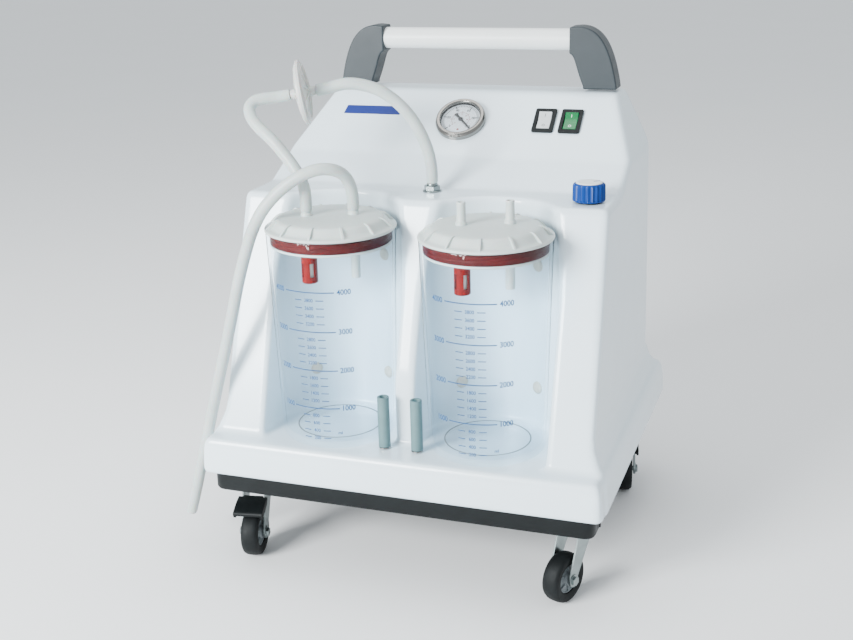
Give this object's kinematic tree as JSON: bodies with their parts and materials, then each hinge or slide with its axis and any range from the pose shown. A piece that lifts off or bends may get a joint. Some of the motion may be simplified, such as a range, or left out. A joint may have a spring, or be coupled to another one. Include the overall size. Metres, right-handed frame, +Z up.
{
  "type": "suction pump",
  "caption": "Free-standing surgical suction pump: two graduated jars with lids and hoses on a moulded cabinet with gauge, switches, carry handle and swivel casters.",
  "frame": {"origin": "on the floor under the centre of the cabinet", "axes": "+X to the machine's right as seen from the front, +Y to its rear, +Z up"},
  "size_m": [0.6057, 0.4794, 0.69],
  "materials": {
    "white_plastic": "glossy moulded",
    "gauge_face": "printed dial",
    "black_plastic": "fine grained",
    "slate_plastic": "satin moulded",
    "green_plastic": "glossy",
    "blue_plastic": "satin",
    "zinc_plate": "zinc plated",
    "stainless": "polished",
    "clear_polycarbonate": "clear, moulded",
    "lid_plastic": "milky translucent",
    "gasket_rubber": "maroon silicone",
    "red_plastic": "glossy",
    "float_foam": "matt",
    "silicone": "translucent silicone",
    "hub_plastic": "satin grey",
    "tyre_rubber": "matt rubber"
  },
  "bodies": {
    "cabinet": {"front_housing": "white_plastic", "rear_cover": "white_plastic", "mains_inlet": "black_plastic", "base_tray": "black_plastic", "pump_motor": "zinc_plate", "pump_head": "zinc_plate", "exhaust_muffler": "black_plastic", "inner_vacuum_hose": "silicone", "handle_bar": "white_plastic", "handle_arm_left": "slate_plastic", "handle_arm_right": "slate_plastic", "gauge_case": "black_plastic", "gauge_dial": "gauge_face", "gauge_lens": "clear_polycarbonate", "gauge_bezel": "stainless", "power_switch_frame": "black_plastic", "selector_switch_frame": "black_plastic", "regulator_valve": "zinc_plate", "suction_inlet": "zinc_plate", "post_core_left": "stainless", "post_core_right": "stainless", "post_sleeve_left": "slate_plastic", "post_sleeve_right": "slate_plastic", "caster_plate_front_left": "zinc_plate", "caster_plate_front_right": "zinc_plate", "caster_plate_rear_left": "zinc_plate", "caster_plate_rear_right": "zinc_plate"},
    "fan": {"cooling_fan": "black_plastic"},
    "gauge_pointer": {"gauge_needle": "black_plastic"},
    "power_button": {"power_rocker": "white_plastic"},
    "selector_button": {"selector_rocker": "green_plastic"},
    "knob": {"regulator_knob": "blue_plastic"},
    "jar_left_body": {"jar_left": "clear_polycarbonate"},
    "lid_left_body": {"lid_left": "lid_plastic", "lid_gasket_left": "gasket_rubber", "float_cage_left": "red_plastic", "patient_hose": "silicone", "vacuum_hose_jar": "silicone", "vacuum_hose_pump": "silicone", "inline_filter": "lid_plastic"},
    "float_left_body": {"overflow_float_left": "float_foam"},
    "jar_right_body": {"jar_right": "clear_polycarbonate"},
    "lid_right_body": {"lid_right": "lid_plastic", "lid_gasket_right": "gasket_rubber", "float_cage_right": "red_plastic"},
    "float_right_body": {"overflow_float_right": "float_foam"},
    "fork_front_left_body": {"caster_fork_front_left": "zinc_plate"},
    "wheel_front_left_body": {"caster_hub_front_left": "hub_plastic", "caster_tyre_front_left": "tyre_rubber"},
    "pedal_front_left_body": {"brake_pedal_front_left": "black_plastic"},
    "fork_front_right_body": {"caster_fork_front_right": "zinc_plate"},
    "wheel_front_right_body": {"caster_hub_front_right": "hub_plastic", "caster_tyre_front_right": "tyre_rubber"},
    "fork_rear_left_body": {"caster_fork_rear_left": "zinc_plate"},
    "wheel_rear_left_body": {"caster_hub_rear_left": "hub_plastic", "caster_tyre_rear_left": "tyre_rubber"},
    "fork_rear_right_body": {"caster_fork_rear_right": "zinc_plate"},
    "wheel_rear_right_body": {"caster_hub_rear_right": "hub_plastic", "caster_tyre_rear_right": "tyre_rubber"},
    "pedal_rear_right_body": {"brake_pedal_rear_right": "black_plastic"}
  },
  "joints": [
    {"name": "fan_spin", "type": "hinge", "parent": "cabinet", "child": "fan", "pos_m": [0.083, 0.09, 0.172], "axis": [1, 0, 0], "continuous": true},
    {"name": "gauge_pointer_turn", "type": "hinge", "parent": "cabinet", "child": "gauge_pointer", "pos_m": [-0.002, 0.08533, 0.56837], "axis": [0, -0.6161, 0.7877], "range_deg": [0, 270], "stiffness_Nm_per_rad": 0.0004},
    {"name": "power_switch_tilt", "type": "hinge", "parent": "cabinet", "child": "power_button", "pos_m": [0.1175, 0.09195, 0.5672], "axis": [-1, 0, 0], "range_deg": [0, 12]},
    {"name": "selector_switch_tilt", "type": "hinge", "parent": "cabinet", "child": "selector_button", "pos_m": [0.1545, 0.09195, 0.5672], "axis": [-1, 0, 0], "range_deg": [0, 12]},
    {"name": "regulator_turn", "type": "hinge", "parent": "cabinet", "child": "knob", "pos_m": [0.214, -0.064, 0.5], "axis": [0, 0, 1], "range_deg": [0, 300]},
    {"name": "jar_left_lift", "type": "slide", "parent": "cabinet", "child": "jar_left_body", "axis": [0, 0, 1], "range_m": [0, 0.12]},
    {"name": "lid_left_lift", "type": "slide", "parent": "jar_left_body", "child": "lid_left_body", "axis": [0, 0, 1], "range_m": [0, 0.1]},
    {"name": "float_left_rise", "type": "slide", "parent": "lid_left_body", "child": "float_left_body", "axis": [0, 0, 1], "range_m": [0, 0.03]},
    {"name": "jar_right_lift", "type": "slide", "parent": "cabinet", "child": "jar_right_body", "axis": [0, 0, 1], "range_m": [0, 0.12]},
    {"name": "lid_right_lift", "type": "slide", "parent": "jar_right_body", "child": "lid_right_body", "axis": [0, 0, 1], "range_m": [0, 0.1]},
    {"name": "float_right_rise", "type": "slide", "parent": "lid_right_body", "child": "float_right_body", "axis": [0, 0, 1], "range_m": [0, 0.03]},
    {"name": "swivel_front_left", "type": "hinge", "parent": "cabinet", "child": "fork_front_left_body", "pos_m": [-0.226, -0.172, 0.09], "axis": [0, 0, 1], "continuous": true},
    {"name": "roll_front_left", "type": "hinge", "parent": "fork_front_left_body", "child": "wheel_front_left_body", "pos_m": [-0.22166, -0.19662, 0.03272], "axis": [0.9848, 0.1736, 0], "continuous": true},
    {"name": "brake_front_left", "type": "hinge", "parent": "fork_front_left_body", "child": "pedal_front_left_body", "pos_m": [-0.22253, -0.1917, 0.0814], "axis": [0.9848, 0.1736, 0], "range_deg": [0, 10]},
    {"name": "swivel_front_right", "type": "hinge", "parent": "cabinet", "child": "fork_front_right_body", "pos_m": [0.226, -0.172, 0.09], "axis": [0, 0, 1], "continuous": true},
    {"name": "roll_front_right", "type": "hinge", "parent": "fork_front_right_body", "child": "wheel_front_right_body", "pos_m": [0.21663, -0.19518, 0.03272], "axis": [0.9272, -0.3746, 0], "continuous": true},
    {"name": "swivel_rear_left", "type": "hinge", "parent": "cabinet", "child": "fork_rear_left_body", "pos_m": [-0.226, 0.172, 0.09], "axis": [0, 0, 1], "continuous": true},
    {"name": "roll_rear_left", "type": "hinge", "parent": "fork_rear_left_body", "child": "wheel_rear_left_body", "pos_m": [-0.21166, 0.15152, 0.03272], "axis": [0.8192, 0.5736, 0], "continuous": true},
    {"name": "swivel_rear_right", "type": "hinge", "parent": "cabinet", "child": "fork_rear_right_body", "pos_m": [0.226, 0.172, 0.09], "axis": [0, 0, 1], "continuous": true},
    {"name": "roll_rear_right", "type": "hinge", "parent": "fork_rear_right_body", "child": "wheel_rear_right_body", "pos_m": [0.2312, 0.14755, 0.03272], "axis": [0.9781, 0.2079, 0], "continuous": true},
    {"name": "brake_rear_right", "type": "hinge", "parent": "fork_rear_right_body", "child": "pedal_rear_right_body", "pos_m": [0.23016, 0.15244, 0.0814], "axis": [0.9781, 0.2079, 0], "range_deg": [0, 10]}
  ]
}
